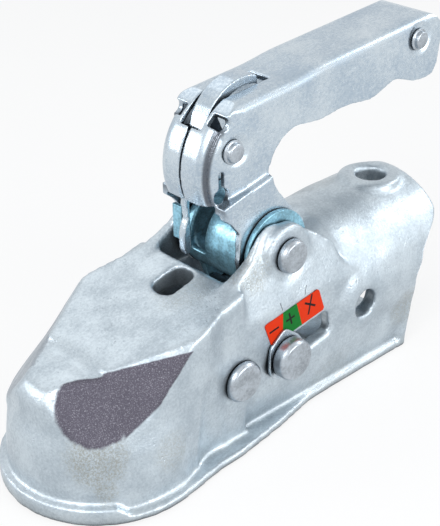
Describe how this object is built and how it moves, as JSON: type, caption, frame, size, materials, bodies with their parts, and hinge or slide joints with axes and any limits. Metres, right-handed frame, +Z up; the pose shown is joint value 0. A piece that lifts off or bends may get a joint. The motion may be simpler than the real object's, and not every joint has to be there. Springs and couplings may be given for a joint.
{
  "type": "trailer coupling head",
  "caption": "Forged coupling head for a 50 mm tow ball, with a folded sheet handle, safety latch, clamping claw, wear indicator and a round drawbar socket.",
  "frame": {"origin": "centre of the tow ball that the head closes on", "axes": "+X rearward along the drawbar, +Z up, the side with the wear indicator faces -Y"},
  "size_m": [0.2541, 0.0954, 0.1675],
  "materials": {
    "zinc_forging": "forged steel, bright zinc plated, grainy and slightly blue",
    "zinc_sheet": "pressed sheet, bright blue-white zinc plating",
    "zinc_pin": "turned or headed steel, satin zinc plating",
    "teal_zinc": "blue-green zinc plating, shiny",
    "spring_steel": "dark spring steel",
    "claw_steel": "forged steel, zinc plated, dull",
    "label_print": "printed film with red and green fields"
  },
  "bodies": {
    "base": {"body_shell": "zinc_forging", "wear_label": "label_print", "main_pin": "zinc_pin", "main_pin_ring": "spring_steel", "front_pin": "zinc_pin", "front_pin_ring": "spring_steel", "side_washers": "teal_zinc"},
    "grip": {"handle": "zinc_sheet", "cam_barrel": "teal_zinc", "crank_pin": "zinc_pin", "return_spring": "spring_steel", "latch_rivet": "zinc_pin", "latch_spring": "spring_steel", "end_rivet": "zinc_pin", "end_spacer": "zinc_sheet"},
    "catch": {"latch": "zinc_sheet", "catch_plate": "teal_zinc"},
    "slider": {"claw": "claw_steel", "indicator_pin": "zinc_pin", "indicator_ring": "zinc_pin", "pointer_plate": "zinc_sheet"}
  },
  "joints": [
    {"name": "handle_hinge", "type": "hinge", "parent": "base", "child": "grip", "pos_m": [0.0914, 0, 0.068], "axis": [0, -1, 0], "range_deg": [0, 36]},
    {"name": "latch_hinge", "type": "hinge", "parent": "grip", "child": "catch", "pos_m": [0.0707, 0, 0.1207], "axis": [0, -1, 0], "range_deg": [0, 3.5], "stiffness_Nm_per_rad": 0.6, "springref_deg": -11.46},
    {"name": "claw_slide", "type": "slide", "parent": "base", "child": "slider", "axis": [0.9903, 0, 0.1392], "range_m": [0, 0.0188]}
  ],
  "couplings": [
    {"joint": "claw_slide", "follows": "handle_hinge", "m_per_rad": 0.02992}
  ]
}
